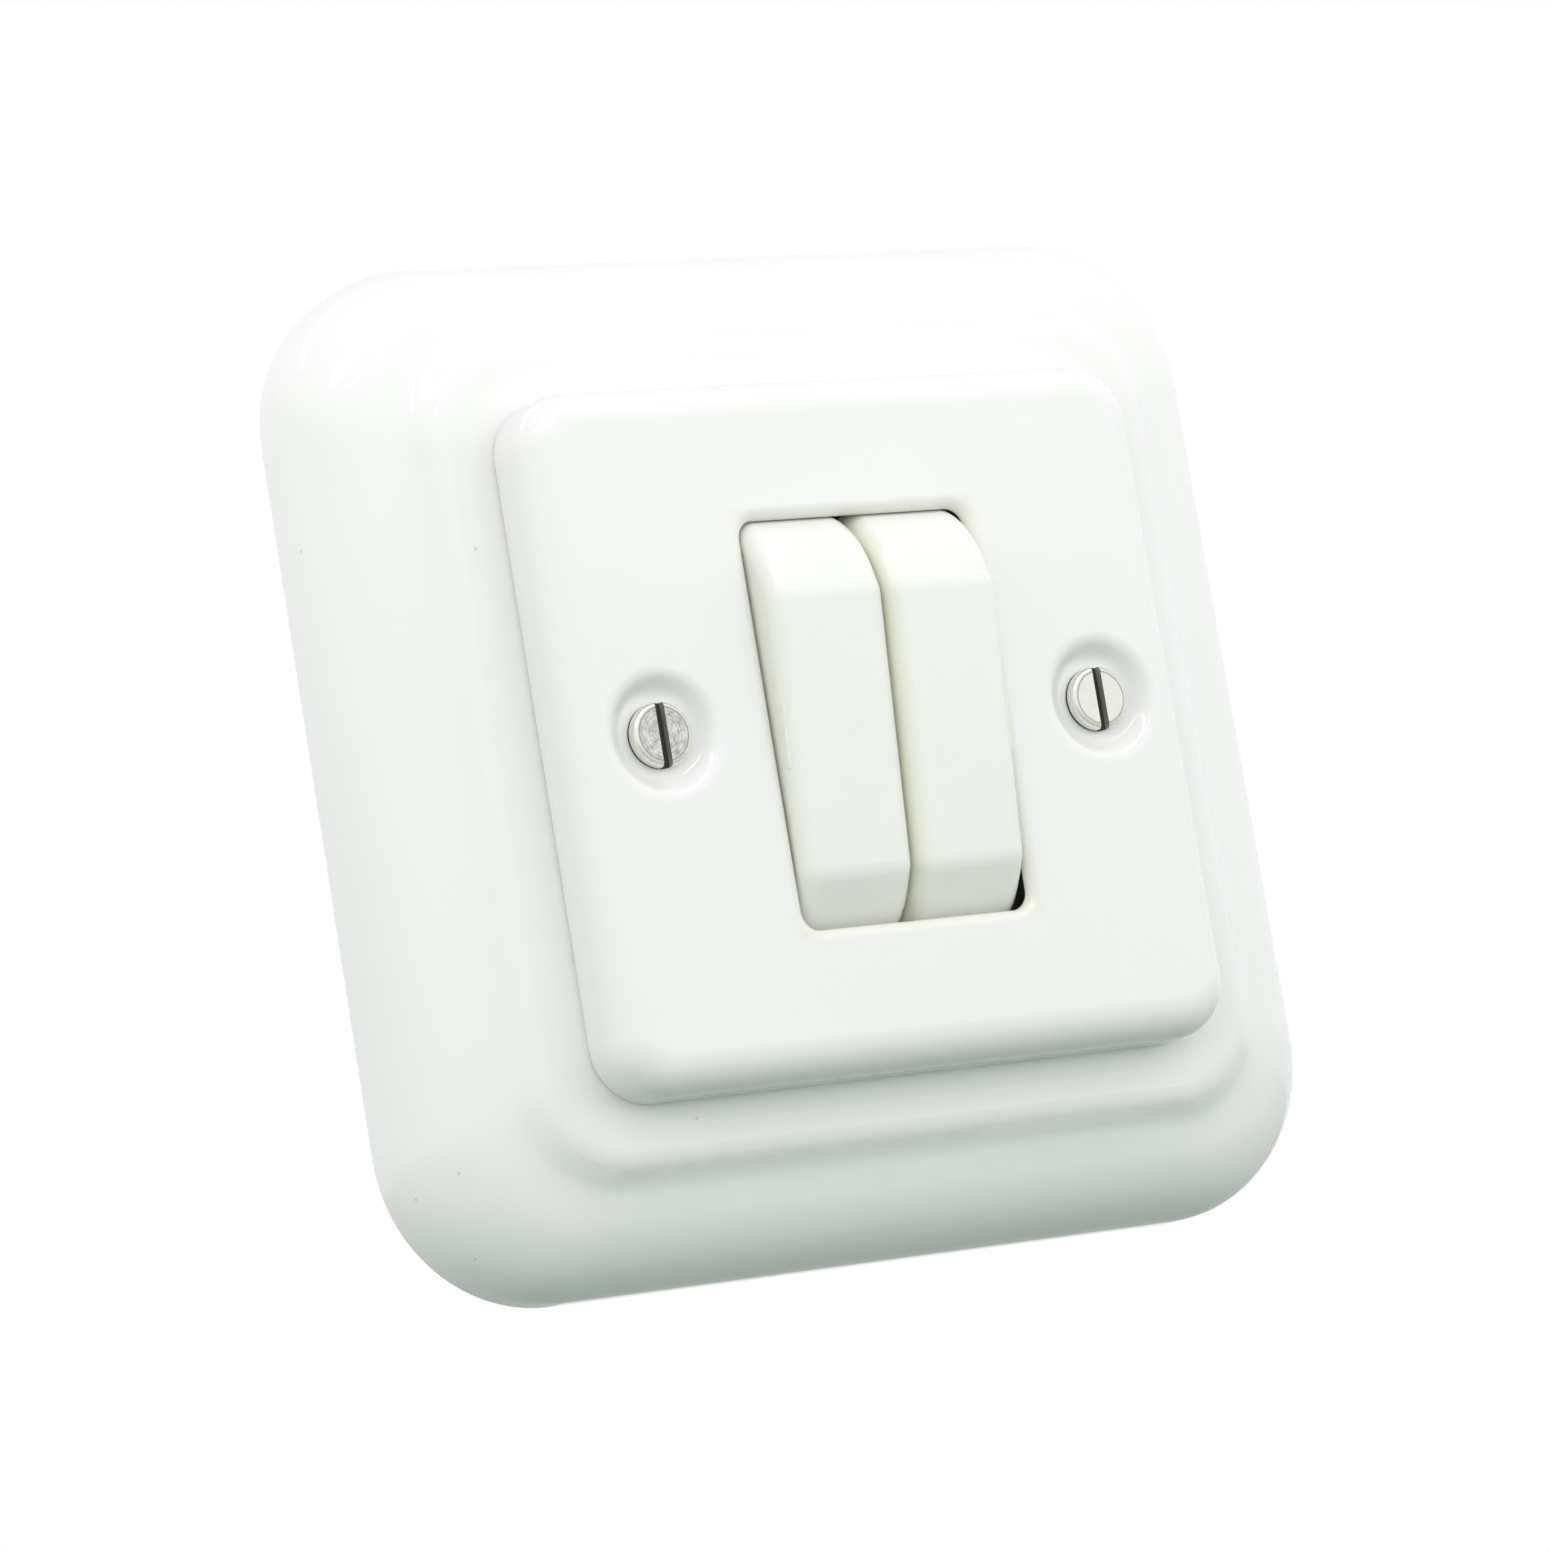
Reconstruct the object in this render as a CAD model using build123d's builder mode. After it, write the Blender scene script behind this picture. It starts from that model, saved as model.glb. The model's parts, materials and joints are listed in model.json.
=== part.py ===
from build123d import *
from math import acos, asin, cos, degrees, radians, sin, sqrt, tan
import os

# Surface-mounted porcelain rocker switch, two gang, in millimetres.
# The wall is the XZ plane at y = 0, the origin is the centre of the back, +Z is up and the front faces -Y.
# Depths and heights below are distances from the wall towards the room.

os.makedirs("parts", exist_ok=True)

# Porcelain housing: foot, outer roll, cove and ridge up to a flat ledge
case_side = 96.8
case_corner = 15.3
case_foot = 3.2
foot_round = 0.8
ledge_height = 15.0
ledge_side = 72.6
ledge_corner = 7.5
ridge_radius = 2.8
ridge_angle = 50.0
cove_radius = 5.0
flank_angle = 16.0
case_wall = 6.0
pocket_depth = 8.0
pocket_round = 2.5
opening_side = 57.0
opening_corner = 5.0

# Porcelain cover plate
plate_side = 65.0
plate_corner = 5.5
plate_thick = 7.2
plate_roll = 3.5
plate_foot = 0.4
plate_web = 3.2
recess_side = 55.0
recess_corner = 4.0
window_width = 24.1
window_height = 38.2
window_corner = 1.8
window_lip = 1.2
window_flare = 1.1
window_land = 0.05

# Cover screws, slotted cheese heads in round dimples
screw_spacing = 46.6
screw_head_radius = 3.0
screw_head_height = 1.4
screw_head_round = 0.45
screw_slot_width = 0.9
screw_slot_depth = 0.95
screw_shank_radius = 1.7
screw_hole_radius = 1.95
screw_length = 11.7
dimple_radius = 6.3
dimple_floor_radius = 3.3
dimple_depth = 1.7
boss_radius = 4.6
boss_gap = 0.3

# Rockers: a hollow moulding that turns on side trunnions
pivot_height = 11.0
rocker_tilt = 6.3
rocker_face_level = 13.8
rocker_face_half = 12.9
rocker_slope = 30.0
rocker_bulge = 0.2
rocker_rim_level = 5.0
rocker_end_gap = 0.15
rocker_side_gap = 0.15
rocker_middle_gap = 0.3
rocker_wall = 1.6
rocker_end_wall = 1.9
rocker_roof = 2.0
rocker_ridge_round = 3.0
rocker_end_round = 10.0
rocker_edge_round = 1.9
lug_thick = 1.6
lug_half = 3.0
lug_setback = 1.25
trunnion_radius = 1.5
trunnion_clearance = 0.05
trunnion_reach = 1.8
trunnion_inner_x = 0.35
stem_radius = 3.0
stem_foot_level = -1.5

# Spring plunger in each rocker's stem
bore_radius = 2.0
bore_roof_level = 9.6
plunger_radius = 1.92
plunger_nose_radius = 1.3
plunger_shoulder_level = -2.6
plunger_top_level = 2.0
plunger_gap = 0.15
spring_radius = 1.5
spring_wire = 0.25
spring_turns = 6
spring_sides = 6

# Mounting base on the wall
base_clearance = 2.4
base_corner = 9.0
base_thick = 4.0
base_round = 0.8
wall_hole_edge = 10.0
wall_hole_radius = 2.25
wall_hole_sink_radius = 4.2
wall_hole_sink = 1.6
cable_hole_radius = 4.5
cable_hole_edge = 7.0

# Switch body, the moulded frame round both bays
body_wall = 2.4
body_middle = 2.4
bay_clearance = 0.3
bay_half = 11.0
body_end = 2.0
screw_lug_reach = 2.7
screw_lug_radius = 3.0
screw_lug_place = 9.5

# Steel yoke over the body, which takes the cover screws
yoke_thick = 1.2
yoke_half_height = 12.5
yoke_arm_half = 5.0
yoke_arm_reach = 4.2
yoke_margin = 3.2
yoke_window_half = 4.6
yoke_cover = 0.1
yoke_corner = 1.5
bush_radius = 3.0
bush_length = 3.0
thread_clearance = 0.1

# Frame screws and nuts
frame_screw_radius = 1.25
frame_screw_head = 2.25
frame_screw_head_height = 1.5
frame_hole_radius = 1.45
frame_head_bevel = 0.4
frame_slot_width = 0.7
frame_slot_depth = 0.7
nut_radius = 2.9
nut_thick = 2.0
nut_sunk = 0.2
nut_clearance = 0.12

# Contacts: brass strips let into the base, see-saw levers and riveted tips
strip_thick = 0.8
strip_width = 5.0
strip_clearance = 0.1
knife_height = 1.6
knife_base = 2.0
knife_round = 0.3
knife_clearance = 0.05
lever_gap = 0.05
lever_thick = 0.7
lever_half = 7.6
contact_gap = 0.06
lever_corner = 1.2
tip_radius = 1.5
tip_place = 6.2
tip_thick = 0.4
common_leg_top = 2.0
common_cross_place = -15.0
switched_strip_start = 4.2

# Terminals
terminal_place = 24.5
terminal_side = 7.0
terminal_height = 7.5
terminal_bevel = 0.6
wire_hole_radius = 1.6
wire_hole_height = 3.2
clamp_screw_radius = 1.5
clamp_screw_head = 2.2
clamp_head_height = 1.6
clamp_clearance = 0.06
barrier_thick = 1.2
barrier_height = 8.5
barrier_length = 7.6
barrier_sunk = 1.0

# Sizes worked out from the ones above
pocket_side = case_side - 2 * case_wall
base_side = pocket_side - 2 * base_clearance
wall_hole_spacing = base_side - 2 * wall_hole_edge
cable_hole_place = base_side / 2 - cable_hole_edge
front = ledge_height + plate_thick
web_back = front - plate_web
lip_level = front - window_lip
screw_x = screw_spacing / 2
seat_height = front - dimple_depth
half_window = window_width / 2
rocker_width = half_window - rocker_side_gap - rocker_middle_gap / 2
rocker_outer_x = half_window - rocker_side_gap
rocker_inner_x = rocker_middle_gap / 2
lug_inner_x = rocker_inner_x + lug_setback
stem_x = (rocker_outer_x - lug_thick + lug_inner_x + lug_thick) / 2
end_radius = sqrt((window_height / 2 - rocker_end_gap) ** 2 + (lip_level - pivot_height) ** 2)
bay_outer_x = rocker_outer_x + bay_clearance
body_outer_x = bay_outer_x + body_wall
body_inner_x = body_outer_x - body_wall / 2
body_top = pivot_height + trunnion_radius + trunnion_clearance
yoke_top = body_top + yoke_thick
boss_base = yoke_top + boss_gap
screw_lug_x = body_outer_x + screw_lug_reach
knife_top = base_thick + knife_height
lever_top = knife_top + lever_gap + lever_thick
tip_drop = knife_height + lever_gap - 2 * tip_thick - contact_gap
lever_tilt = degrees(asin(tip_drop / (tip_place + tip_radius)))
plunger_reach = pivot_height - lever_top - plunger_gap
SIDES = {"left": -1, "right": 1}
NEAR = 0.01
CUT_OVER = 1.0


def facing(height):
    """Plane parallel to the wall at a height above it, looking out into the room."""
    return Plane.XZ.offset(height)


def side_view(x, height, tilt=0.0):
    """Plane across X: first axis out into the room, second axis up, both turned by the tilt."""
    out = (0, -cos(radians(tilt)), -sin(radians(tilt)))
    return Plane(origin=(x, -height, 0), x_dir=out, z_dir=(-1, 0, 0))


def along_out(x, height, tilt, level=0.0):
    """Plane whose normal points out along a tilted piece, moved along it by a level."""
    out = (0, -cos(radians(tilt)), -sin(radians(tilt)))
    plane = Plane(origin=(x, -height, 0), x_dir=(1, 0, 0), z_dir=out)
    return plane.offset(level)


def through_axis(x, height, tilt):
    """Plane that holds the out axis of a tilted piece as its second axis, for turned profiles."""
    upright = (0, sin(radians(tilt)), -cos(radians(tilt)))
    return Plane(origin=(x, -height, 0), x_dir=(1, 0, 0), z_dir=upright)


def save(piece, name):
    """Labels a finished piece and writes it as one STEP file."""
    piece.part.label = name
    export_step(piece.part, f"parts/{name}.step")


def housing_sections():
    """Inset and height of each section, from the top of the foot to the edge of the ledge."""
    flank = radians(flank_angle)
    ridge = radians(ridge_angle)
    ridge_run = ridge_radius * sin(ridge)
    ridge_rise = ridge_radius * (1 - cos(ridge))
    cove_run = cove_radius * (sin(ridge) - sin(flank))
    cove_rise = cove_radius * (cos(flank) - cos(ridge))
    roll_run = (case_side - ledge_side) / 2 - ridge_run - cove_run
    roll_rise = ledge_height - case_foot - ridge_rise - cove_rise
    # The roll is a part of an ellipse that starts upright and ends at the flank angle
    share = tan(flank) * roll_run / roll_rise
    roll_end = acos(share / (1 - share))
    roll_width = roll_run / (1 - cos(roll_end))
    roll_height = roll_rise / sin(roll_end)
    roll_steps, cove_steps, ridge_steps = 6, 3, 4
    sections = []
    for step in range(roll_steps + 1):
        turn = roll_end * step / roll_steps
        sections.append((roll_width * (1 - cos(turn)), case_foot + roll_height * sin(turn)))
    for step in range(1, cove_steps + 1):
        slope = flank + (ridge - flank) * step / cove_steps
        inset = roll_run + cove_radius * (sin(slope) - sin(flank))
        sections.append((inset, case_foot + roll_rise + cove_radius * (cos(flank) - cos(slope))))
    for step in range(1, ridge_steps + 1):
        slope = ridge * (1 - step / ridge_steps)
        inset = roll_run + cove_run + ridge_radius * (sin(ridge) - sin(slope))
        rise = ridge_radius * (cos(slope) - cos(ridge))
        sections.append((inset, case_foot + roll_rise + cove_rise + rise))
    return sections


# Porcelain housing
with BuildPart() as porcelain_housing:
    with BuildSketch(facing(0)):
        RectangleRounded(case_side, case_side, case_corner)
    extrude(amount=case_foot)
    fillet(porcelain_housing.edges().group_by(Axis.Y)[-1], foot_round)
    full_inset = (case_side - ledge_side) / 2
    for inset, height in housing_sections():
        with BuildSketch(facing(height)):
            corner = case_corner + (ledge_corner - case_corner) * inset / full_inset
            RectangleRounded(case_side - 2 * inset, case_side - 2 * inset, corner)
    loft()
    with BuildSketch(facing(0)):
        RectangleRounded(pocket_side, pocket_side, case_corner - case_wall / 2)
    extrude(amount=pocket_depth, mode=Mode.SUBTRACT)
    roof_edges = porcelain_housing.edges().filter_by(
        lambda edge: abs(edge.center().Y + pocket_depth) < NEAR and edge.bounding_box().size.Y < NEAR)
    fillet(roof_edges, pocket_round)
    with BuildSketch(facing(pocket_depth)):
        RectangleRounded(opening_side, opening_side, opening_corner)
    extrude(amount=ledge_height - pocket_depth, mode=Mode.SUBTRACT)
save(porcelain_housing, "porcelain_housing")

# Porcelain cover plate
with BuildPart() as cover_plate:
    with BuildSketch(facing(ledge_height)):
        RectangleRounded(plate_side, plate_side, plate_corner)
    extrude(amount=plate_thick)
    fillet(cover_plate.edges().group_by(Axis.Y)[0], plate_roll)
    fillet(cover_plate.edges().group_by(Axis.Y)[-1], plate_foot)
    with BuildSketch(facing(ledge_height)):
        RectangleRounded(recess_side, recess_side, recess_corner)
    extrude(amount=web_back - ledge_height, mode=Mode.SUBTRACT)
    with BuildSketch(facing(boss_base)):
        with Locations((-screw_x, 0), (screw_x, 0)):
            Circle(boss_radius)
    extrude(amount=web_back - boss_base)
    with BuildSketch(facing(web_back)):
        RectangleRounded(window_width, window_height, window_corner)
    extrude(amount=plate_web, mode=Mode.SUBTRACT)
    lip_reach = max(window_width, window_height) / 2 + NEAR
    lip_edges = cover_plate.edges().group_by(Axis.Y)[0].filter_by(
        lambda edge: max(abs(edge.center().X), abs(edge.center().Z)) < lip_reach)
    fillet(lip_edges, window_lip - window_land)
    with BuildSketch(facing(web_back)):
        RectangleRounded(window_width + 2 * window_flare, window_height + 2 * window_flare,
                         window_corner + window_flare)
    with BuildSketch(facing(lip_level)):
        RectangleRounded(window_width, window_height, window_corner)
    loft(mode=Mode.SUBTRACT)
    for x in (-screw_x, screw_x):
        with BuildSketch(Plane(origin=(x, -front, 0), x_dir=(1, 0, 0), z_dir=(0, 0, 1))):
            with BuildLine():
                rim = (dimple_radius, 0)
                floor = (dimple_floor_radius, dimple_depth)
                Spline(rim, floor, tangents=[(-1, 0), (-1, 0)])
                Polyline(floor, (0, dimple_depth), (0, -CUT_OVER), (dimple_radius, -CUT_OVER), rim)
            make_face()
        revolve(axis=Axis((x, 0, 0), (0, 1, 0)), mode=Mode.SUBTRACT)
    with BuildSketch(facing(boss_base)):
        with Locations((-screw_x, 0), (screw_x, 0)):
            Circle(screw_hole_radius)
    extrude(amount=front - boss_base, mode=Mode.SUBTRACT)
save(cover_plate, "cover_plate")

# Cover screws with upright slots
with BuildPart() as cover_screws:
    with BuildSketch(facing(seat_height)):
        with Locations((-screw_x, 0), (screw_x, 0)):
            Circle(screw_head_radius)
    extrude(amount=screw_head_height)
    fillet(cover_screws.edges().group_by(Axis.Y)[0], screw_head_round)
    with BuildSketch(facing(seat_height)):
        with Locations((-screw_x, 0), (screw_x, 0)):
            Circle(screw_shank_radius)
    extrude(amount=-screw_length)
    with BuildSketch(facing(seat_height + screw_head_height - screw_slot_depth)):
        with Locations((-screw_x, 0), (screw_x, 0)):
            Rectangle(screw_slot_width, 3 * screw_head_radius)
    extrude(amount=2 * screw_slot_depth, mode=Mode.SUBTRACT)
save(cover_screws, "cover_screws")


def rocker_outline():
    """Side outline of a rocker about its pivot: flat face, sloped ends and ends that follow the pivot."""
    slope = radians(rocker_slope)
    half_turn = rocker_face_half * cos(slope) - rocker_face_level * sin(slope)
    reach = rocker_face_half ** 2 + rocker_face_level ** 2 - end_radius ** 2
    length = sqrt(half_turn ** 2 - reach) - half_turn
    ridge = (rocker_face_level, rocker_face_half)
    knee = (ridge[0] - length * sin(slope), ridge[1] + length * cos(slope))
    swell_out = (ridge[0] + knee[0]) / 2 + rocker_bulge * cos(slope)
    swell_up = (ridge[1] + knee[1]) / 2 + rocker_bulge * sin(slope)
    toe = (rocker_rim_level, sqrt(end_radius ** 2 - rocker_rim_level ** 2))
    middle = (asin(knee[0] / end_radius) + asin(toe[0] / end_radius)) / 2
    end = (end_radius * sin(middle), end_radius * cos(middle))
    return ridge, (swell_out, swell_up), knee, end, toe


def flipped(point):
    """The same point of a side outline on the lower half."""
    return (point[0], -point[1])


# Rockers, at rest with the upper end out
for side, sign in SIDES.items():
    # Each span is drawn at its right-hand face and extruded to the left
    shell_x = max(sign * rocker_inner_x, sign * rocker_outer_x)
    cavity_x = max(sign * (rocker_inner_x + rocker_wall), sign * (rocker_outer_x - rocker_wall))
    outer_lug_x = max(sign * rocker_outer_x, sign * (rocker_outer_x - lug_thick))
    inner_lug_x = max(sign * lug_inner_x, sign * (lug_inner_x + lug_thick))
    outer_pin_x = max(sign * rocker_outer_x, sign * (rocker_outer_x + trunnion_reach))
    inner_pin_x = max(sign * lug_inner_x, sign * trunnion_inner_x)
    ridge, swell, knee, end, toe = rocker_outline()
    rim_length = 2 * toe[1]
    with BuildPart() as rocker:
        with BuildSketch(side_view(shell_x, pivot_height, rocker_tilt)) as outline:
            with BuildLine():
                Line(flipped(ridge), ridge)
                ThreePointArc(ridge, swell, knee)
                ThreePointArc(knee, end, toe)
                Line(toe, flipped(toe))
                ThreePointArc(flipped(toe), flipped(end), flipped(knee))
                ThreePointArc(flipped(knee), flipped(swell), flipped(ridge))
            make_face()
            fillet(outline.vertices().filter_by(lambda v: abs(v.X - ridge[0]) < NEAR), rocker_ridge_round)
            fillet(outline.vertices().filter_by(lambda v: abs(v.X - knee[0]) < NEAR), rocker_end_round)
        extrude(amount=rocker_width)
        flank_edges = rocker.edges().filter_by(
            lambda edge: edge.bounding_box().size.X < NEAR and edge.length < rim_length - NEAR)
        fillet(flank_edges, rocker_edge_round)
        with BuildSketch(side_view(cavity_x, pivot_height, rocker_tilt)):
            with BuildLine():
                mouth = (rocker_rim_level - CUT_OVER, toe[1] - rocker_end_wall)
                shoulder = (knee[0] - rocker_wall / 2, knee[1] - rocker_end_wall)
                roof = (rocker_face_level - rocker_roof, rocker_face_half - rocker_wall / 2)
                Polyline(mouth, shoulder, roof, flipped(roof), flipped(shoulder), flipped(mouth), close=True)
            make_face()
        extrude(amount=rocker_width - 2 * rocker_wall, mode=Mode.SUBTRACT)
        for lug_x in (outer_lug_x, inner_lug_x):
            with BuildSketch(side_view(lug_x, pivot_height, rocker_tilt)):
                Circle(lug_half)
                with Locations((rocker_face_level / 2 - rocker_roof / 4, 0)):
                    Rectangle(rocker_face_level - rocker_roof / 2, 2 * lug_half)
            extrude(amount=lug_thick)
        for pin_x, reach in ((outer_pin_x, trunnion_reach), (inner_pin_x, lug_inner_x - trunnion_inner_x)):
            with BuildSketch(side_view(pin_x, pivot_height, rocker_tilt)):
                Circle(trunnion_radius)
            extrude(amount=reach)
        with BuildSketch(along_out(sign * stem_x, pivot_height, rocker_tilt, stem_foot_level)):
            Circle(stem_radius)
        extrude(amount=rocker_face_level - rocker_roof / 2 - stem_foot_level)
        with BuildSketch(along_out(sign * stem_x, pivot_height, rocker_tilt, stem_foot_level)):
            Circle(bore_radius)
        extrude(amount=bore_roof_level - stem_foot_level, mode=Mode.SUBTRACT)
    save(rocker, f"rocker_{side}")

# Spring plungers and their springs, in the stems
for side, sign in SIDES.items():
    axial = through_axis(sign * stem_x, pivot_height, rocker_tilt)
    with BuildPart() as plunger:
        with BuildSketch(axial):
            with BuildLine():
                tip = (0, -plunger_reach)
                cheek = (plunger_nose_radius, plunger_nose_radius - plunger_reach)
                RadiusArc(tip, cheek, -plunger_nose_radius)
                Polyline(cheek, (plunger_nose_radius, plunger_shoulder_level),
                         (plunger_radius, plunger_shoulder_level + plunger_radius - plunger_nose_radius),
                         (plunger_radius, plunger_top_level), (0, plunger_top_level), tip)
            make_face()
        revolve(axis=Axis(axial.origin, axial.y_dir))
    save(plunger, f"plunger_{side}")
    coil_start = along_out(sign * stem_x, pivot_height, rocker_tilt, plunger_top_level + spring_wire)
    coil_length = bore_roof_level - plunger_top_level - 2 * spring_wire
    with BuildPart() as plunger_spring:
        with BuildLine() as coil:
            Helix(coil_length / spring_turns, coil_length, spring_radius,
                  center=coil_start.origin, direction=coil_start.z_dir)
        with BuildSketch(Plane(origin=coil.line @ 0, z_dir=coil.line % 0)):
            RegularPolygon(spring_wire, spring_sides)
        sweep(path=coil.line, is_frenet=True)
    save(plunger_spring, f"plunger_spring_{side}")


def strip_spans(extra=0.0):
    """Boxes of the flat strips in the base as centre and size, grown by a clearance."""
    width = strip_width + 2 * extra
    leg_bottom = common_cross_place - strip_width / 2
    leg_span = common_leg_top - leg_bottom + 2 * extra
    tail_end = -terminal_place - strip_width / 2
    switched_end = terminal_place + strip_width / 2
    switched_span = switched_end - switched_strip_start + 2 * extra
    legs = [(sign * stem_x, (common_leg_top + leg_bottom) / 2, width, leg_span) for sign in (-1, 1)]
    cross = (0, common_cross_place, 2 * stem_x + width, width)
    tail = (0, (common_cross_place + tail_end) / 2, width, common_cross_place - tail_end + 2 * extra)
    switched_middle = (switched_strip_start + switched_end) / 2
    switched = [(sign * stem_x, switched_middle, width, switched_span) for sign in (-1, 1)]
    return legs + [cross, tail], switched


def draw_spans(spans):
    """Draws a list of strip boxes in the open sketch."""
    for x, z, width, length in spans:
        with Locations((x, z)):
            Rectangle(width, length)


common_spans, switched_spans = strip_spans()
common_grooves, switched_grooves = strip_spans(strip_clearance)
frame_places = [(x, z) for x in (-screw_lug_x, screw_lug_x) for z in (-screw_lug_place, screw_lug_place)]
terminal_places = [(0, -terminal_place), (-stem_x, terminal_place), (stem_x, terminal_place)]

# Mounting base
with BuildPart() as mounting_base:
    with BuildSketch(facing(0)):
        RectangleRounded(base_side, base_side, base_corner)
    extrude(amount=base_thick)
    fillet(mounting_base.edges().group_by(Axis.Y)[0], base_round)
    with BuildSketch(facing(base_thick - strip_thick)):
        draw_spans(common_grooves + switched_grooves)
    extrude(amount=2 * strip_thick, mode=Mode.SUBTRACT)
    with BuildSketch(facing(base_thick - barrier_sunk)):
        with Locations((0, terminal_place)):
            Rectangle(barrier_thick + 2 * strip_clearance, barrier_length + 2 * strip_clearance)
    extrude(amount=2 * barrier_sunk, mode=Mode.SUBTRACT)
    with BuildSketch(facing(0)):
        with GridLocations(wall_hole_spacing, wall_hole_spacing, 2, 2):
            Circle(wall_hole_radius)
        with Locations((0, cable_hole_place), (0, -cable_hole_place)):
            Circle(cable_hole_radius)
        with Locations(*frame_places):
            Circle(frame_hole_radius)
    extrude(amount=base_thick, mode=Mode.SUBTRACT)
    with BuildSketch(facing(base_thick - wall_hole_sink)):
        with GridLocations(wall_hole_spacing, wall_hole_spacing, 2, 2):
            Circle(wall_hole_sink_radius)
    extrude(amount=2 * wall_hole_sink, mode=Mode.SUBTRACT)
    with BuildSketch(facing(0)):
        with Locations(*frame_places):
            RegularPolygon(nut_radius + nut_clearance, 6)
    extrude(amount=nut_sunk + nut_thick, mode=Mode.SUBTRACT)
save(mounting_base, "mounting_base")

# Switch body
with BuildPart() as switch_body:
    with BuildSketch(facing(base_thick)):
        Rectangle(2 * body_outer_x, 2 * (bay_half + body_end))
        for x, z in frame_places:
            with Locations((x, z)):
                Circle(screw_lug_radius)
            with Locations(((x + body_inner_x * (1 if x > 0 else -1)) / 2, z)):
                Rectangle(screw_lug_x - body_inner_x, 2 * screw_lug_radius)
        bay_width = bay_outer_x - body_middle / 2
        bay_centre = (bay_outer_x + body_middle / 2) / 2
        with Locations((-bay_centre, 0), (bay_centre, 0)):
            Rectangle(bay_width, 2 * bay_half, mode=Mode.SUBTRACT)
        with Locations(*frame_places):
            Circle(frame_hole_radius, mode=Mode.SUBTRACT)
    extrude(amount=body_top - base_thick)
    with BuildSketch(side_view(body_outer_x + CUT_OVER, pivot_height)):
        Circle(trunnion_radius + trunnion_clearance)
        with Locations((trunnion_radius, 0)):
            Rectangle(2 * trunnion_radius, 2 * (trunnion_radius + trunnion_clearance))
    extrude(amount=2 * (body_outer_x + CUT_OVER), mode=Mode.SUBTRACT)
save(switch_body, "switch_body")

# Mounting yoke with threaded bushes for the cover screws
with BuildPart() as mounting_yoke:
    with BuildSketch(facing(body_top)):
        RectangleRounded(2 * (screw_lug_x + yoke_margin), 2 * yoke_half_height, yoke_corner)
        RectangleRounded(2 * (screw_x + yoke_arm_reach), 2 * yoke_arm_half, yoke_corner)
        window_outer = bay_outer_x - yoke_cover
        window_inner = body_middle / 2
        with Locations((-(window_outer + window_inner) / 2, 0), ((window_outer + window_inner) / 2, 0)):
            Rectangle(window_outer - window_inner, 2 * yoke_window_half, mode=Mode.SUBTRACT)
        with Locations(*frame_places):
            Circle(frame_hole_radius, mode=Mode.SUBTRACT)
    extrude(amount=yoke_thick)
    with BuildSketch(facing(body_top)):
        with Locations((-screw_x, 0), (screw_x, 0)):
            Circle(bush_radius)
    extrude(amount=-bush_length)
    with BuildSketch(facing(yoke_top)):
        with Locations((-screw_x, 0), (screw_x, 0)):
            Circle(screw_shank_radius + thread_clearance)
    extrude(amount=-(bush_length + yoke_thick), mode=Mode.SUBTRACT)
save(mounting_yoke, "mounting_yoke")

# Frame screws and nuts
with BuildPart() as frame_screws:
    with BuildSketch(facing(yoke_top)):
        with Locations(*frame_places):
            Circle(frame_screw_head)
    extrude(amount=frame_screw_head_height)
    chamfer(frame_screws.edges().group_by(Axis.Y)[0], frame_head_bevel)
    with BuildSketch(facing(yoke_top)):
        with Locations(*frame_places):
            Circle(frame_screw_radius)
    extrude(amount=-(yoke_top - nut_sunk))
    with BuildSketch(facing(yoke_top + frame_screw_head_height - frame_slot_depth)):
        with Locations(*frame_places):
            Rectangle(3 * frame_screw_head, frame_slot_width)
    extrude(amount=2 * frame_slot_depth, mode=Mode.SUBTRACT)
save(frame_screws, "frame_screws")

with BuildPart() as frame_nuts:
    with BuildSketch(facing(nut_sunk)):
        with Locations(*frame_places):
            RegularPolygon(nut_radius, 6)
            Circle(frame_screw_radius + thread_clearance, mode=Mode.SUBTRACT)
    extrude(amount=nut_thick)
save(frame_nuts, "frame_nuts")

# Feed bar with a knife edge under each lever
with BuildPart() as common_bar:
    with BuildSketch(facing(base_thick - strip_thick)):
        draw_spans(common_spans)
    extrude(amount=strip_thick)
    for sign in SIDES.values():
        with BuildSketch(side_view(sign * stem_x + strip_width / 2, base_thick)):
            with BuildLine():
                Polyline((0, -knife_base / 2), (0, knife_base / 2), (knife_height, knife_round),
                         (knife_height, -knife_round), close=True)
            make_face()
            with Locations((knife_height, 0)):
                Circle(knife_round)
        extrude(amount=strip_width)
save(common_bar, "common_bar")

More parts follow.
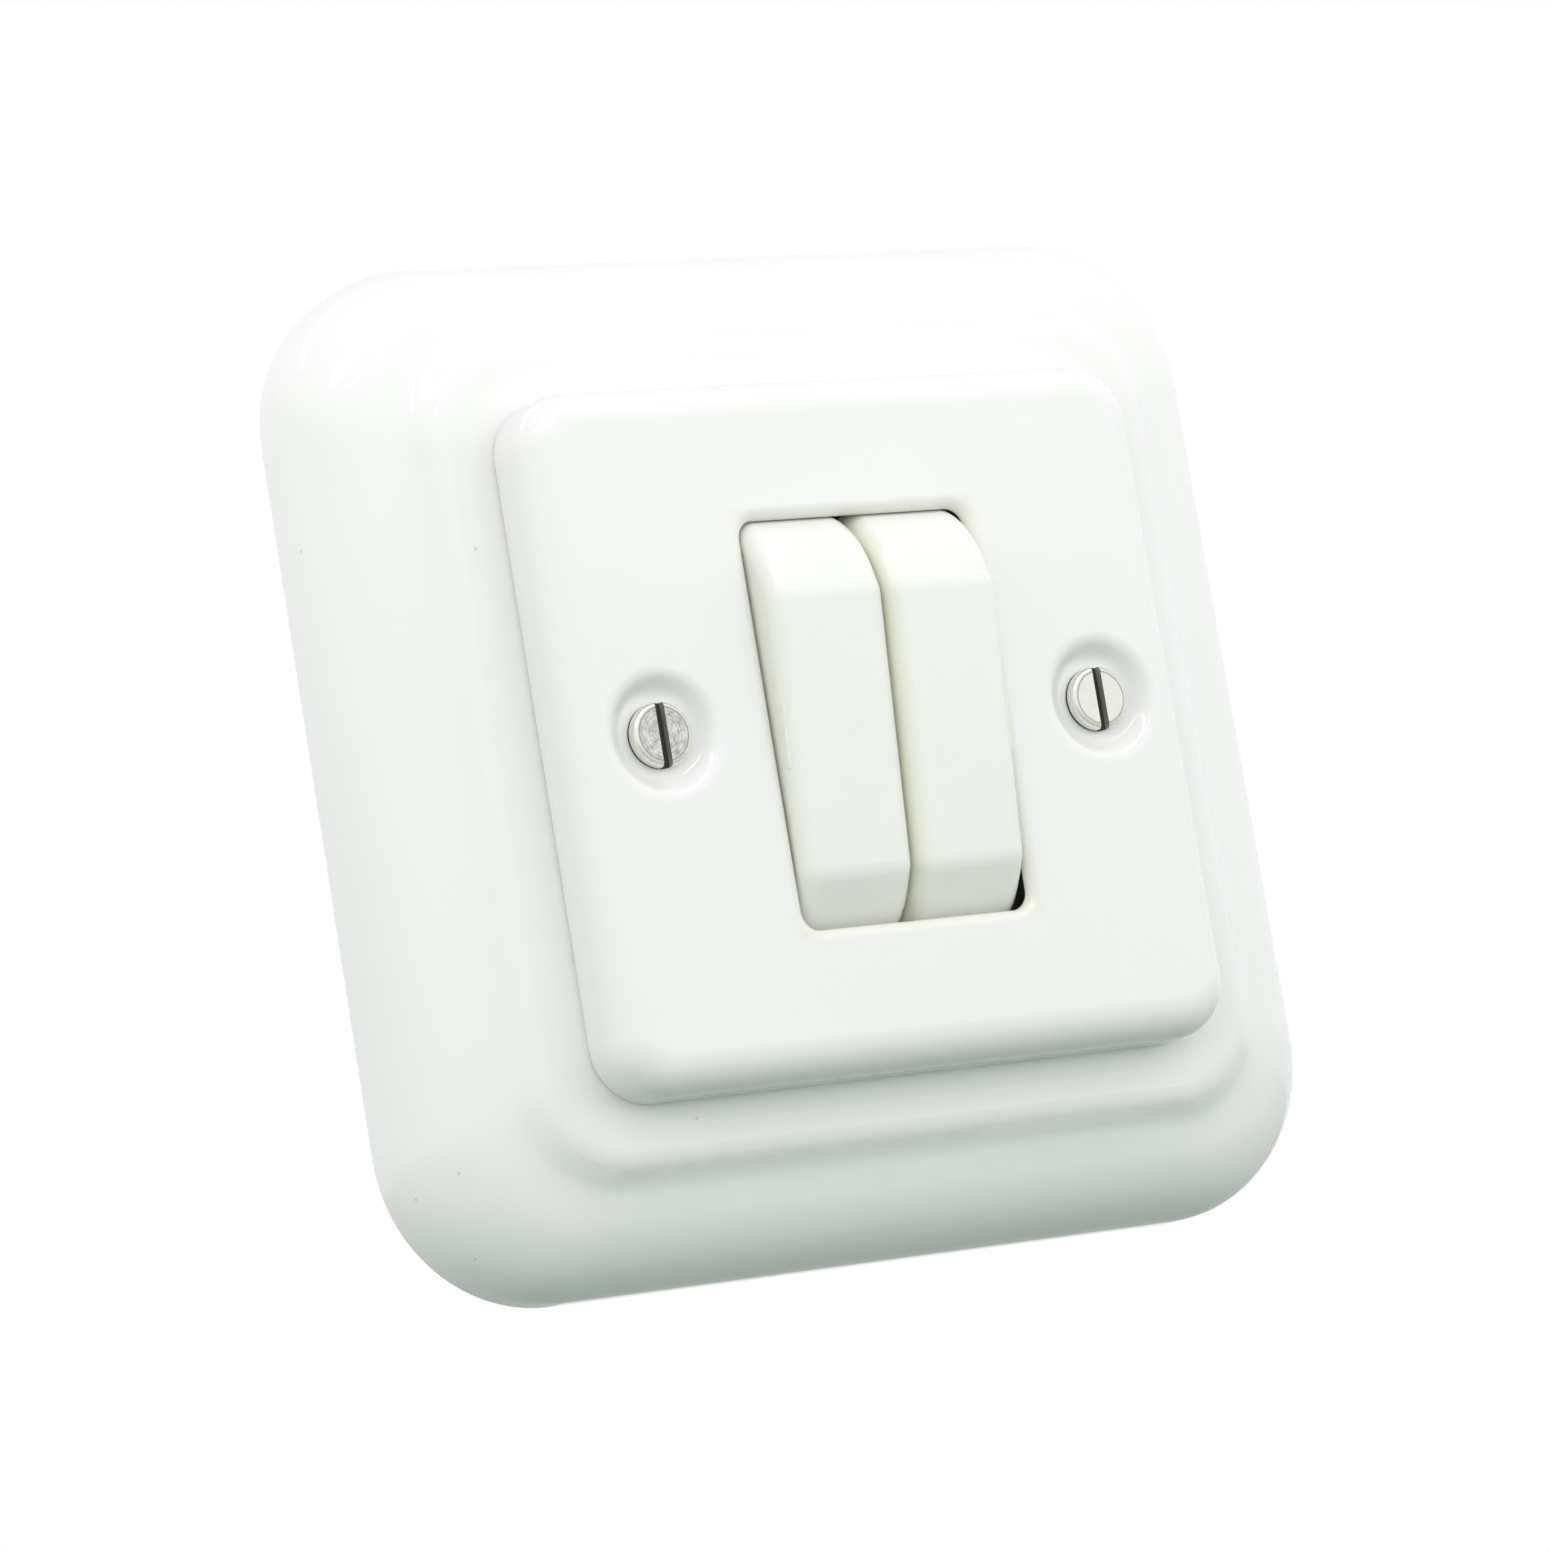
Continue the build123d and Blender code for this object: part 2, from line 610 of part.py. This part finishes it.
# Switched strips, contact tips and see-saw levers
for side, sign in SIDES.items():
    with BuildPart() as switched_strip:
        with BuildSketch(facing(base_thick - strip_thick)):
            draw_spans(switched_spans[:1] if sign < 0 else switched_spans[1:])
        extrude(amount=strip_thick)
    save(switched_strip, f"switched_strip_{side}")
    with BuildPart() as fixed_tip:
        with BuildSketch(facing(base_thick)):
            with Locations((sign * stem_x, tip_place)):
                Circle(tip_radius)
        extrude(amount=tip_thick)
    save(fixed_tip, f"fixed_tip_{side}")
    with BuildPart() as contact_lever:
        with BuildSketch(along_out(sign * stem_x, knife_top, -lever_tilt, lever_gap)):
            RectangleRounded(strip_width, 2 * lever_half, lever_corner)
        extrude(amount=lever_thick)
        with BuildSketch(side_view(sign * stem_x + strip_width / 2, knife_top, -lever_tilt)):
            Circle(knife_round + knife_clearance)
        extrude(amount=strip_width, mode=Mode.SUBTRACT)
    save(contact_lever, f"contact_lever_{side}")
    with BuildPart() as moving_tip:
        with BuildSketch(along_out(sign * stem_x, knife_top, -lever_tilt, lever_gap - tip_thick)):
            with Locations((0, tip_place)):
                Circle(tip_radius)
        extrude(amount=tip_thick)
    save(moving_tip, f"moving_tip_{side}")

# Terminal blocks with a wire hole from below or above and a clamp screw from the front
terminal_names = ("feed_terminal", "switched_terminal_left", "switched_terminal_right")
for name, (x, z) in zip(terminal_names, terminal_places):
    with BuildPart() as terminal:
        with BuildSketch(facing(base_thick)):
            with Locations((x, z)):
                Rectangle(terminal_side, terminal_side)
        extrude(amount=terminal_height)
        chamfer(terminal.edges().group_by(Axis.Y)[0], terminal_bevel)
        with BuildSketch(Plane.XY.offset(z - terminal_side / 2)):
            with Locations((x, -(base_thick + wire_hole_height))):
                Circle(wire_hole_radius)
        extrude(amount=terminal_side, mode=Mode.SUBTRACT)
        with BuildSketch(facing(base_thick + wire_hole_height)):
            with Locations((x, z)):
                Circle(clamp_screw_radius + clamp_clearance)
        extrude(amount=terminal_height - wire_hole_height, mode=Mode.SUBTRACT)
    save(terminal, name)

terminal_top = base_thick + terminal_height
with BuildPart() as terminal_screws:
    with BuildSketch(facing(terminal_top)):
        with Locations(*terminal_places):
            Circle(clamp_screw_head)
    extrude(amount=clamp_head_height)
    with BuildSketch(facing(terminal_top)):
        with Locations(*terminal_places):
            Circle(clamp_screw_radius)
    extrude(amount=-(terminal_height - wire_hole_height))
    with BuildSketch(facing(terminal_top + clamp_head_height - frame_slot_depth)):
        with Locations(*terminal_places):
            Rectangle(3 * clamp_screw_head, frame_slot_width)
    extrude(amount=2 * frame_slot_depth, mode=Mode.SUBTRACT)
save(terminal_screws, "terminal_screws")

# Insulating wall between the switched terminals
with BuildPart() as terminal_barrier:
    with BuildSketch(facing(base_thick - barrier_sunk)):
        with Locations((0, terminal_place)):
            Rectangle(barrier_thick, barrier_length)
    extrude(amount=barrier_sunk + barrier_height)
save(terminal_barrier, "terminal_barrier")
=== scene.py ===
import json
import math

import bpy
from mathutils import Matrix, Vector


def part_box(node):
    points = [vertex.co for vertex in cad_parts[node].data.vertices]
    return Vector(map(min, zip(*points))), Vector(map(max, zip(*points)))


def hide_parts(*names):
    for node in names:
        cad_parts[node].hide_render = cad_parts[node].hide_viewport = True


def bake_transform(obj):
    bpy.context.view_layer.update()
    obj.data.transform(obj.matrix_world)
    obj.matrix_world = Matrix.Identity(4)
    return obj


# Surface-mounted porcelain light switch: finishes, studio light and camera. Lengths are in metres.

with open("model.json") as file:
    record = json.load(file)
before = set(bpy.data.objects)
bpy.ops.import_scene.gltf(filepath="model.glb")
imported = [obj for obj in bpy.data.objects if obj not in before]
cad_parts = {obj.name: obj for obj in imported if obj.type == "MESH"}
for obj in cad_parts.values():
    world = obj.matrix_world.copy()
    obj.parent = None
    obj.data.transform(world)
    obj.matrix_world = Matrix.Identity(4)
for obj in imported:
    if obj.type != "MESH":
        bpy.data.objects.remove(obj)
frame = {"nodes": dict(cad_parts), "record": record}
nodes = frame["nodes"]
scene = bpy.context.scene
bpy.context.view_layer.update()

MM = 0.001
WHITE = (1.0, 1.0, 1.0)
BLACK = (0.0, 0.0, 0.0)

# Camera, found by fitting the outlines of housing, cover plate and screws to the photograph
CAMERA_RIGHT = Vector((0.86977, -0.46597, -0.16236))
CAMERA_UP = Vector((0.07671, -0.19733, 0.97733))
CAMERA_BACK = Vector((-0.48745, -0.86251, -0.13589))
CAMERA_PLACE = Vector((-0.281221, -0.497148, -0.079574))
CAMERA_LENS = 140.9
CAMERA_SENSOR = 36.0
CAMERA_CLIP = 0.01

# A noise is (scale, detail, roughness), and a bump is (strength, depth)
# Tones are two colours, and noise drifts from one to the other over this range
# A fade is (reach, strength, share of the reach that keeps the full strength)
NOISE_RANGE = (0.3, 0.7)

# Glaze on housing and cover plate
GLAZE_DRIFT = (38.0, 3.0, 0.55)
GLAZE_TONES = ((0.838, 0.838, 0.83), (0.855, 0.853, 0.848))
GLAZE_WAVES = (120.0, 2.0, 0.4)
GLAZE_BUMP = (0.06, 0.6 * MM)
GLAZE_ROUGHNESS = 0.05
GLAZE_IOR = 1.5

# Cover plate's window, whose lip is partly yellowed and partly carries painted warm shade next to the
# rockers
WINDOW_HALF_WIDTH = 12.05 * MM
WINDOW_HALF_HEIGHT = 19.1 * MM
LIP_FADE = (1.3 * MM, 0.5, 0.1)
LIP_STAIN_AND_WARM_SHADE = (0.79, 0.775, 0.64)

# Pinholes in the glaze, on the housing's left and lower sides
PINHOLE_FADE = (0.22 * MM, 0.4, 0.35)
PINHOLE_STAIN = (0.32, 0.3, 0.25)
PINHOLES = (
    (-48.2 * MM, -5.1 * MM, 22.3 * MM),
    (-35.6 * MM, -15.0 * MM, 19.5 * MM),
    (-44.6 * MM, -10.0 * MM, -36.1 * MM),
    (-47.2 * MM, -5.9 * MM, -37.6 * MM),
    (-42.8 * MM, -6.9 * MM, -43.6 * MM),
    (-22.6 * MM, -15.0 * MM, -34.2 * MM),
)

# Rockers' plastic, which lets a little light in
ROCKER_DRIFT = (60.0, 2.0, 0.5)
ROCKER_TONES = ((0.84, 0.85, 0.818), (0.857, 0.865, 0.836))
ROCKER_GRAIN = (900.0, 3.0, 0.5)
ROCKER_BUMP = (0.03, 0.3 * MM)
ROCKER_ROUGHNESS = 0.2
ROCKER_SCATTER = 0.3
SCATTER_RADIUS = (1.0, 0.9, 0.6)
SCATTER_SCALE = 0.8 * MM

# Rockers' inner and outer side walls, partly yellowed and partly painted with warm shade along the gaps
INNER_SIDE = 0.15 * MM
OUTER_SIDE = 11.9 * MM
INNER_FADE = (1.5 * MM, 0.6, 0.0)
OUTER_FADE = (0.6 * MM, 0.25, 0.0)
SIDE_STAIN_AND_WARM_SHADE = (0.79, 0.785, 0.61)

# Cover screws' plating, worn on the left face, with turning marks round each axis and a painted dark line
# of shade at the face's rim
SCREW_X = 23.3 * MM
FACE_RADIUS = 2.5 * MM
TURNING_PITCH = 0.34 * MM
TURNING_WOBBLE = 0.7
TURNING_STRENGTH = 0.05
SCREW_PITS = (1500.0, 4.0, 0.7)
SCREW_BUMP = (0.3, 0.05 * MM)
SCREW_ROUGHNESS = 0.2
MARK_ROUGHNESS = 0.14
WORN_RANGE = (0.3, 0.66)
WORN_TONES = ((0.36, 0.37, 0.34), (0.76, 0.77, 0.73))
CLEAN_TONES = ((0.78, 0.79, 0.71), (0.84, 0.85, 0.78))
RIM_FADE = (0.13 * MM, 0.6, 0.3)
RIM_PAINTED_SHADE = (0.22, 0.22, 0.19)

# Dirt and painted shade on the cover screws, in the slots and round the seats
SLOT_HALF = 0.47 * MM
SLOT_DIRT_AND_SHADE_DEPTH = 0.12 * MM
SLOT_FLOOR_DEPTH = 0.85 * MM
HEAD_HEIGHT = 1.4 * MM
SEAT_DIRT_AND_SHADE_HEIGHT = 0.3 * MM
DIRT_AND_SHADE_COLOUR = (0.27, 0.27, 0.23)
SLOT_FLOOR_DIRT_AND_SHADE = (0.05, 0.05, 0.04)
DIRT_AND_SHADE_ROUGHNESS = 0.5

# Metals and insulators inside
METAL_DETAIL = 4.0
METAL_HARSHNESS = 0.6
METAL_SHADES = (0.9, 1.06)
METAL_POLISH_SPREAD = 0.2
METAL_BUMP_DEPTH = 0.1 * MM
MOULDED_GRAIN = (420.0, 5.0, 0.65)
MOULDED_SHADES = (0.95, 1.03)
MOULDED_BUMP = (0.25, 0.2 * MM)

# Studio: a glowing tent, brightest in front and dimmest overhead, before a white backdrop
TENT_LEVEL = 1.64
TENT_FRONT = 0.27
TENT_OVERHEAD = 1.32
BACKDROP_LEVEL = 1.0

# Pale floor below the switch, which hangs on a wall; the light it sends back is that of a darker shade
FLOOR_HEIGHT = -0.11
FLOOR_RADIUS = 0.7
FLOOR_CORNERS = 96
FLOOR_COLOUR = (0.6, 0.61, 0.6)
FLOOR_SHADE = (0.22, 0.31, 0.24)
FLOOR_ROUGHNESS = 0.8

# Four ceiling tubes along the wall, two of them behind its face, whose reflections streak the glaze
TUBE_REACHES = (0.42, 0.3, -0.6, -0.95)
TUBE_ACROSS = -0.4
TUBE_HEIGHT = 0.85
TUBE_SIZE = (0.8, 0.012)
TUBE_POWER = 0.6

# Wide strip overhead in front, whose reflections line the dimples and the rockers' edges
STRIP_PLACE = (-0.25, -0.55, 0.85)
STRIP_SIZE = (1.3, 0.14)
STRIP_POWER = 1.7


def opaque(colour):
    """A colour with full alpha, as sockets and ramps take it."""
    return (*colour, 1.0)


def new_material(name):
    """A node material with a Principled shader, as (material, node tree, shader)."""
    material = bpy.data.materials.new(name)
    material.use_nodes = True
    tree = material.node_tree
    shader = tree.nodes["Principled BSDF"]
    return material, tree, shader


def object_place(tree):
    """The object's own coordinates, which are the row frame in metres."""
    return tree.nodes.new("ShaderNodeTexCoord").outputs["Object"]


def split_axes(tree, vector):
    """The X, Y and Z sockets of a vector socket."""
    node = tree.nodes.new("ShaderNodeSeparateXYZ")
    tree.links.new(vector, node.inputs["Vector"])
    return [node.outputs[axis] for axis in "XYZ"]


def distance_to(tree, place, spot):
    """The distance socket from a place socket to a fixed spot."""
    node = tree.nodes.new("ShaderNodeVectorMath")
    node.operation = "DISTANCE"
    tree.links.new(place, node.inputs[0])
    node.inputs[1].default_value = spot
    return node.outputs["Value"]


def add_math(tree, operation, *values):
    """A maths node fed by sockets or plain numbers; returns its result socket."""
    node = tree.nodes.new("ShaderNodeMath")
    node.operation = operation
    for socket, value in zip(node.inputs, values):
        if isinstance(value, (int, float)):
            socket.default_value = value
        else:
            tree.links.new(value, socket)
    return node.outputs[0]


def add_ramp(tree, value, stops):
    """A ramp between two (position, colour) stops; returns its colour socket."""
    node = tree.nodes.new("ShaderNodeValToRGB")
    for element, (position, colour) in zip(node.color_ramp.elements, stops):
        element.position = position
        element.color = opaque(colour)
    tree.links.new(value, node.inputs["Fac"])
    return node.outputs["Color"]


def add_fade(tree, distance, fade):
    """A factor that falls from the fade's strength to nothing as a distance socket grows to its reach."""
    reach, strength, full_share = fade
    share = add_math(tree, "DIVIDE", distance, reach)
    return add_ramp(tree, share, ((full_share, (strength, strength, strength)), (1.0, BLACK)))


def add_noise(tree, place, noise):
    """Noise over a place socket; returns its factor socket."""
    node = tree.nodes.new("ShaderNodeTexNoise")
    for name, value in zip(("Scale", "Detail", "Roughness"), noise):
        node.inputs[name].default_value = value
    tree.links.new(place, node.inputs["Vector"])
    return node.outputs["Fac"]


def add_bump(tree, shader, height, bump):
    """Bumps a shader's surface by a height socket."""
    node = tree.nodes.new("ShaderNodeBump")
    for name, value in zip(("Strength", "Distance"), bump):
        node.inputs[name].default_value = value
    tree.links.new(height, node.inputs["Height"])
    tree.links.new(node.outputs["Normal"], shader.inputs["Normal"])


def mix_colours(tree, factor, first, second):
    """Mixes two colours, each a socket or plain numbers, by a factor socket; returns the colour socket."""
    node = tree.nodes.new("ShaderNodeMix")
    node.data_type = "RGBA"
    colour_inputs = [socket for socket in node.inputs if socket.type == "RGBA"]
    tree.links.new(factor, node.inputs["Factor"])
    for socket, value in zip(colour_inputs, (first, second)):
        if isinstance(value, tuple):
            socket.default_value = opaque(value)
        else:
            tree.links.new(value, socket)
    return [socket for socket in node.outputs if socket.type == "RGBA"][0]


def seen_rays(tree):
    """1 for what the camera sees, directly, in gloss or through glass, and 0 for light that only fills."""
    paths = tree.nodes.new("ShaderNodeLightPath")
    seen = add_math(tree, "MAXIMUM", paths.outputs["Is Camera Ray"], paths.outputs["Is Glossy Ray"])
    return add_math(tree, "MAXIMUM", seen, paths.outputs["Is Transmission Ray"])


def glazed_porcelain():
    """White porcelain under a faintly wavy glaze, with a window lip darkened by yellowing and painted warm
    shade, and a few pinholes.
    """
    material, tree, shader = new_material("glazed_porcelain")
    place = object_place(tree)
    across, _, height = split_axes(tree, place)
    tone = add_ramp(tree, add_noise(tree, place, GLAZE_DRIFT), zip(NOISE_RANGE, GLAZE_TONES))
    beside = add_math(tree, "SUBTRACT", add_math(tree, "ABSOLUTE", across), WINDOW_HALF_WIDTH)
    above = add_math(tree, "SUBTRACT", add_math(tree, "ABSOLUTE", height), WINDOW_HALF_HEIGHT)
    from_window = add_math(tree, "MAXIMUM", beside, above)
    # Painted warm shade, partly yellowing: the glaze turns darker and yellower towards the window's edge
    tone = mix_colours(tree, add_fade(tree, from_window, LIP_FADE), tone, LIP_STAIN_AND_WARM_SHADE)
    from_pinhole = distance_to(tree, place, PINHOLES[0])
    for spot in PINHOLES[1:]:
        from_pinhole = add_math(tree, "MINIMUM", distance_to(tree, place, spot), from_pinhole)
    tone = mix_colours(tree, add_fade(tree, from_pinhole, PINHOLE_FADE), tone, PINHOLE_STAIN)
    tree.links.new(tone, shader.inputs["Base Color"])
    add_bump(tree, shader, add_noise(tree, place, GLAZE_WAVES), GLAZE_BUMP)
    shader.inputs["Roughness"].default_value = GLAZE_ROUGHNESS
    shader.inputs["IOR"].default_value = GLAZE_IOR
    return material


def rocker_plastic():
    """Glossy, slightly creamy plastic with a fine grain, darkened on the side walls by yellowing and
    painted warm shade.
    """
    material, tree, shader = new_material("rocker_plastic")
    place = object_place(tree)
    across = add_math(tree, "ABSOLUTE", split_axes(tree, place)[0])
    tone = add_ramp(tree, add_noise(tree, place, ROCKER_DRIFT), zip(NOISE_RANGE, ROCKER_TONES))
    # Painted warm shade, partly yellowing: the plastic turns darker and yellower towards the side walls by
    # the gaps
    inner = add_fade(tree, add_math(tree, "SUBTRACT", across, INNER_SIDE), INNER_FADE)
    outer = add_fade(tree, add_math(tree, "SUBTRACT", OUTER_SIDE, across), OUTER_FADE)
    tone = mix_colours(tree, add_math(tree, "MAXIMUM", inner, outer), tone, SIDE_STAIN_AND_WARM_SHADE)
    tree.links.new(tone, shader.inputs["Base Color"])
    add_bump(tree, shader, add_noise(tree, place, ROCKER_GRAIN), ROCKER_BUMP)
    shader.inputs["Roughness"].default_value = ROCKER_ROUGHNESS
    shader.inputs["Subsurface Weight"].default_value = ROCKER_SCATTER
    shader.inputs["Subsurface Radius"].default_value = SCATTER_RADIUS
    shader.inputs["Subsurface Scale"].default_value = SCATTER_SCALE
    return material


def screw_marks(tree, place, radius):
    """Pits and wavering turning marks by the distance from a screw's axis, as one height socket."""
    pits = add_noise(tree, place, SCREW_PITS)
    wobble = add_math(tree, "MULTIPLY_ADD", pits, TURNING_WOBBLE * TURNING_PITCH, radius)
    rings = add_math(tree, "SINE", add_math(tree, "MULTIPLY", wobble, 2 * math.pi / TURNING_PITCH))
    return add_math(tree, "MULTIPLY_ADD", rings, TURNING_STRENGTH, pits)


def screw_plating(tree, marks, sideways, radius):
    """The plating's colour socket: worn on the left face, clean elsewhere, with a painted dark line of
    shade at the rim.
    """
    worn = add_ramp(tree, marks, zip(WORN_RANGE, WORN_TONES))
    clean = add_ramp(tree, marks, zip(NOISE_RANGE, CLEAN_TONES))
    on_right = add_math(tree, "GREATER_THAN", sideways, 0.0)
    on_shoulder = add_math(tree, "GREATER_THAN", radius, FACE_RADIUS)
    plating = mix_colours(tree, add_math(tree, "MAXIMUM", on_right, on_shoulder), worn, clean)
    # Painted shade: a dark line round the rim of the screw's face
    from_rim = add_math(tree, "ABSOLUTE", add_math(tree, "SUBTRACT", radius, FACE_RADIUS))
    return mix_colours(tree, add_fade(tree, from_rim, RIM_FADE), plating, RIM_PAINTED_SHADE)


def screw_dirt_and_shade(tree, across, depth):
    """Where dirt and painted shade lie, in slot and seat, and their colour, as two sockets."""
    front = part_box("cover_screws")[0][1]
    # Dirt and painted shade: darker in the slot below the face, nearly black at the slot's floor, and dark
    # round the seat where the head meets the cover
    in_slot = add_math(tree, "LESS_THAN", add_math(tree, "ABSOLUTE", across), SLOT_HALF)
    below_face = add_math(tree, "GREATER_THAN", depth, front + SLOT_DIRT_AND_SHADE_DEPTH)
    near_seat = add_math(tree, "GREATER_THAN", depth, front + HEAD_HEIGHT - SEAT_DIRT_AND_SHADE_HEIGHT)
    dirt_and_shade = add_math(tree, "MAXIMUM", add_math(tree, "MULTIPLY", in_slot, below_face), near_seat)
    at_bottom = add_math(tree, "GREATER_THAN", depth, front + SLOT_FLOOR_DEPTH)
    return dirt_and_shade, mix_colours(tree, at_bottom, DIRT_AND_SHADE_COLOUR, SLOT_FLOOR_DIRT_AND_SHADE)


def turned_screw():
    """Plated steel screw: turning marks round each head, fine pits, and dark dirt with painted shade in
    slot and seat.
    """
    material, tree, shader = new_material("turned_screw")
    place = object_place(tree)
    sideways, depth, height = split_axes(tree, place)
    across = add_math(tree, "SUBTRACT", add_math(tree, "ABSOLUTE", sideways), SCREW_X)
    height_squared = add_math(tree, "MULTIPLY", height, height)
    radius = add_math(tree, "SQRT", add_math(tree, "MULTIPLY_ADD", across, across, height_squared))
    marks = screw_marks(tree, place, radius)
    plating = screw_plating(tree, marks, sideways, radius)
    dirt_and_shade, dirt_and_shade_colour = screw_dirt_and_shade(tree, across, depth)
    # The base colour takes the dirt and painted shade of slot and seat
    tree.links.new(mix_colours(tree, dirt_and_shade, plating, dirt_and_shade_colour), shader.inputs["Base Color"])
    tree.links.new(add_math(tree, "SUBTRACT", 1.0, dirt_and_shade), shader.inputs["Metallic"])
    polish = add_math(tree, "MULTIPLY_ADD", marks, MARK_ROUGHNESS, SCREW_ROUGHNESS)
    roughness = add_math(tree, "MULTIPLY_ADD", dirt_and_shade, DIRT_AND_SHADE_ROUGHNESS, polish)
    tree.links.new(roughness, shader.inputs["Roughness"])
    add_bump(tree, shader, marks, SCREW_BUMP)
    return material


def shades_of(colour, shades):
    """A colour's darker and lighter shade."""
    return [tuple(min(1.0, shade * channel) for channel in colour) for shade in shades]


def metal(name, colour, roughness, mark_scale, mark_strength):
    """Plated or bare metal with fine marks and a slight change of polish."""
    material, tree, shader = new_material(name)
    marks = add_noise(tree, object_place(tree), (mark_scale, METAL_DETAIL, METAL_HARSHNESS))
    tone = add_ramp(tree, marks, zip(NOISE_RANGE, shades_of(colour, METAL_SHADES)))
    tree.links.new(tone, shader.inputs["Base Color"])
    smoothest = roughness - METAL_POLISH_SPREAD / 2
    polish = add_math(tree, "MULTIPLY_ADD", marks, METAL_POLISH_SPREAD, smoothest)
    tree.links.new(polish, shader.inputs["Roughness"])
    add_bump(tree, shader, marks, (mark_strength, METAL_BUMP_DEPTH))
    shader.inputs["Metallic"].default_value = 1.0
    return material


def moulded(name, colour, roughness):
    """Matt moulded or fired material with a fine grain and faint mottling."""
    material, tree, shader = new_material(name)
    grain = add_noise(tree, object_place(tree), MOULDED_GRAIN)
    tone = add_ramp(tree, grain, zip(NOISE_RANGE, shades_of(colour, MOULDED_SHADES)))
    tree.links.new(tone, shader.inputs["Base Color"])
    add_bump(tree, shader, grain, MOULDED_BUMP)
    shader.inputs["Roughness"].default_value = roughness
    return material


def compressing_coil(side):
    """A copy of a spring's coil, put in place of the spring's node, which is hidden."""
    node = nodes[f"plunger_spring_{side}"]
    coil = bpy.data.objects.new(f"spring_coil_{side}", node.data.copy())
    scene.collection.objects.link(coil)
    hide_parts(node.name)
    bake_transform(coil)


def gloss_lamp(name, place, size, power):
    """A soft lamp that shows in gloss only, turned to the point level with it on the row's X axis."""
    lamp = bpy.data.lights.new(name, "AREA")
    lamp.shape = "RECTANGLE"
    lamp.size, lamp.size_y = size
    lamp.energy = power
    holder = bpy.data.objects.new(name, lamp)
    scene.collection.objects.link(holder)
    holder.location = place
    aim = Vector((place[0], 0, 0)) - Vector(place)
    holder.rotation_euler = aim.to_track_quat("-Z", "Y").to_euler()
    holder.visible_diffuse = False


def studio_world():
    """The tent for light that fills, and the plain backdrop for the camera, gloss and glass."""
    world = bpy.data.worlds.new("studio")
    world.use_nodes = True
    tree = world.node_tree
    _, away, up = split_axes(tree, tree.nodes.new("ShaderNodeTexCoord").outputs["Generated"])
    towards_front = add_math(tree, "MULTIPLY_ADD", away, -TENT_FRONT, TENT_LEVEL)
    steepness = add_math(tree, "MULTIPLY", up, up)
    strength = add_math(tree, "MULTIPLY_ADD", steepness, -TENT_OVERHEAD, towards_front)
    tent = tree.nodes["Background"]
    tent.inputs["Color"].default_value = opaque(WHITE)
    tree.links.new(strength, tent.inputs["Strength"])
    backdrop = tree.nodes.new("ShaderNodeBackground")
    backdrop.inputs["Color"].default_value = opaque(WHITE)
    backdrop.inputs["Strength"].default_value = BACKDROP_LEVEL
    chooser = tree.nodes.new("ShaderNodeMixShader")
    tree.links.new(seen_rays(tree), chooser.inputs["Fac"])
    tree.links.new(tent.outputs["Background"], chooser.inputs[1])
    tree.links.new(backdrop.outputs["Background"], chooser.inputs[2])
    tree.links.new(chooser.outputs["Shader"], tree.nodes["World Output"].inputs["Surface"])
    return world


def studio_floor():
    """A round floor that is pale to the camera and in gloss, and sends less light back up."""
    bpy.ops.mesh.primitive_circle_add(vertices=FLOOR_CORNERS, radius=FLOOR_RADIUS, fill_type="NGON",
                                      location=(0, 0, FLOOR_HEIGHT))
    floor = bpy.context.active_object
    floor.name = "floor"
    material, tree, shader = new_material("floor_paper")
    colour = mix_colours(tree, seen_rays(tree), FLOOR_SHADE, FLOOR_COLOUR)
    tree.links.new(colour, shader.inputs["Base Color"])
    shader.inputs["Roughness"].default_value = FLOOR_ROUGHNESS
    floor.data.materials.append(material)
    return floor


def photo_camera():
    """The camera that took the photograph."""
    camera_data = bpy.data.cameras.new("camera")
    camera_data.lens = CAMERA_LENS
    camera_data.sensor_width = CAMERA_SENSOR
    camera_data.sensor_fit = "HORIZONTAL"
    camera_data.clip_start = CAMERA_CLIP
    camera = bpy.data.objects.new("camera", camera_data)
    scene.collection.objects.link(camera)
    turn = Matrix((CAMERA_RIGHT, CAMERA_UP, CAMERA_BACK)).transposed()
    camera.matrix_world = Matrix.Translation(CAMERA_PLACE) @ turn.to_4x4()
    return camera


# Finishes of the CAD nodes, by the record's material slots
materials = {
    "porcelain": glazed_porcelain(),
    "rocker": rocker_plastic(),
    "screw": turned_screw(),
    "base": moulded("base_ceramic", colour=(0.70, 0.68, 0.62), roughness=0.75),
    "body": moulded("body_moulding", colour=(0.10, 0.105, 0.085), roughness=0.5),
    "steel": metal("yoke_zinc", colour=(0.56, 0.56, 0.54), roughness=0.4,
                   mark_scale=300.0, mark_strength=0.15),
    "brass": metal("contact_brass", colour=(0.72, 0.52, 0.22), roughness=0.3,
                   mark_scale=260.0, mark_strength=0.12),
    "silver": metal("contact_silver", colour=(0.82, 0.81, 0.78), roughness=0.28,
                    mark_scale=400.0, mark_strength=0.1),
}
for part in frame["record"]["subparts"]:
    for slot in nodes[part["node"]].material_slots:
        slot.material = materials[part["material_slot"]]

# Springs, which take their finish along from the nodes that they replace
for side in ("left", "right"):
    compressing_coil(side)

# Studio and camera
for index, reach in enumerate(TUBE_REACHES):
    gloss_lamp(f"tube_{index}", (TUBE_ACROSS, reach, TUBE_HEIGHT), TUBE_SIZE, TUBE_POWER)
gloss_lamp("strip", STRIP_PLACE, STRIP_SIZE, STRIP_POWER)
scene.world = studio_world()
floor = studio_floor()
scene.camera = photo_camera()
scene.view_settings.view_transform = "Standard"
